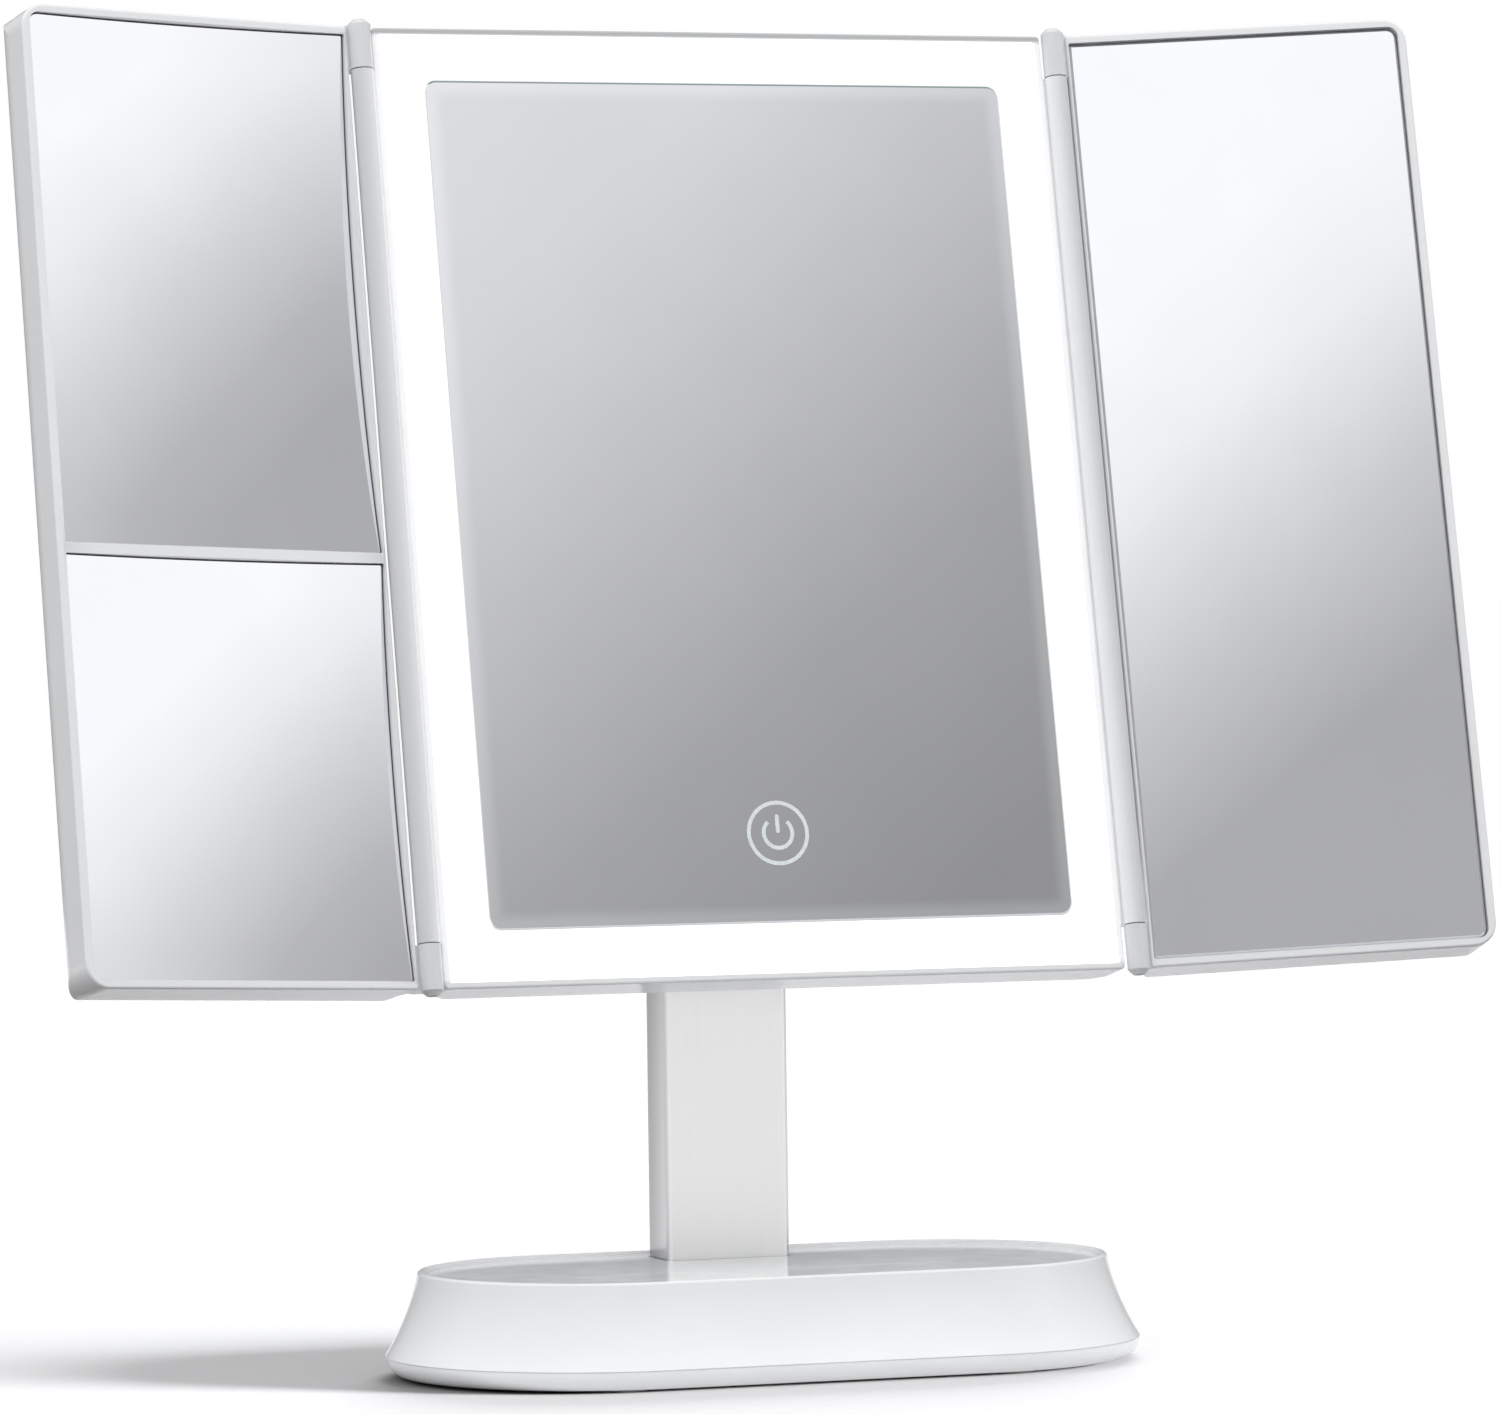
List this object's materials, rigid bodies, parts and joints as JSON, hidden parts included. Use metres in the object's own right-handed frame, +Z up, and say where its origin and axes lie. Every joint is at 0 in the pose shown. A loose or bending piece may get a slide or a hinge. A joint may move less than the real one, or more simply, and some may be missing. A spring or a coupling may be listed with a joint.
{
  "type": "tri-fold lighted vanity mirror",
  "caption": "Table-top vanity mirror with a lit centre panel, folding side wings with flat and magnifying mirrors, a tilting head on a flat steel post and an oblong tray base.",
  "frame": {"origin": "on the table, under the centre of the base", "axes": "+X to the viewer's right, +Y to the back, +Z up"},
  "size_m": [0.4265, 0.1232, 0.391],
  "materials": {
    "white_gloss": "glossy white moulded plastic",
    "white_matte": "plain white moulded plastic",
    "opal_diffuser": "opal acrylic, lit from behind",
    "mirror_glass": "silvered glass",
    "icon_frost": "frosted line in the silvering",
    "brushed_post": "satin brushed stainless steel",
    "bracket_steel": "zinc-plated sheet steel",
    "screw_steel": "bright plated steel",
    "ballast_iron": "bare cast iron",
    "clear_rubber": "soft grey rubber",
    "cell_wrap": "dark printed cell wrap, no lettering",
    "nylon": "natural nylon",
    "circuit_board": "green solder mask",
    "led_board": "white solder mask",
    "led_lens": "yellow phosphor",
    "conductive_foam": "black conductive foam"
  },
  "bodies": {
    "stand": {"base_shell": "white_gloss", "base_plate": "white_gloss", "base_screws": "screw_steel", "rubber_feet": "clear_rubber", "battery_box": "white_matte", "battery_cells": "cell_wrap", "battery_contacts": "screw_steel", "ballast_plate": "ballast_iron", "control_board": "circuit_board", "board_standoffs": "white_matte", "usb_socket": "screw_steel", "post_tube": "brushed_post", "post_flange": "bracket_steel", "post_flange_screws": "screw_steel", "post_plug": "white_matte", "tilt_bush": "nylon"},
    "battery_door": {"battery_door": "white_gloss"},
    "head": {"tilt_bracket": "bracket_steel", "tilt_pin": "screw_steel", "tilt_nut": "screw_steel", "friction_washers": "nylon", "bracket_screws": "screw_steel", "centre_housing": "white_gloss", "light_diffuser": "opal_diffuser", "main_mirror": "mirror_glass", "power_icon": "icon_frost", "mirror_carrier": "white_matte", "touch_pad": "conductive_foam", "touch_board": "circuit_board", "light_tray": "white_matte", "light_tray_screws": "screw_steel", "led_boards": "led_board", "led_chips": "led_lens", "left_hinge_bushes": "nylon", "right_hinge_bushes": "nylon"},
    "left_wing": {"left_wing_frame": "white_gloss", "left_wing_cover": "white_gloss", "left_hinge_pins": "screw_steel", "left_upper_mirror": "mirror_glass", "left_lower_mirror": "mirror_glass"},
    "right_wing": {"right_wing_frame": "white_gloss", "right_wing_cover": "white_gloss", "right_hinge_pins": "screw_steel", "right_wing_mirror": "mirror_glass"}
  },
  "joints": [
    {"name": "head_tilt", "type": "hinge", "parent": "stand", "child": "head", "pos_m": [0, 0.0392, 0.242], "axis": [-1, 0, 0], "range_deg": [-12, 28]},
    {"name": "left_wing_fold", "type": "hinge", "parent": "head", "child": "left_wing", "pos_m": [-0.107, 0.0032, 0.24965], "axis": [0, 0.2079, 0.9781], "range_deg": [-11, 169]},
    {"name": "right_wing_fold", "type": "hinge", "parent": "head", "child": "right_wing", "pos_m": [0.107, 0.0032, 0.24965], "axis": [0, -0.2079, -0.9781], "range_deg": [-13, 167]},
    {"name": "battery_door_swing", "type": "hinge", "parent": "stand", "child": "battery_door", "pos_m": [-0.05895, -0.0312, 0.0018], "axis": [-1, 0, 0], "range_deg": [0, 80]}
  ]
}
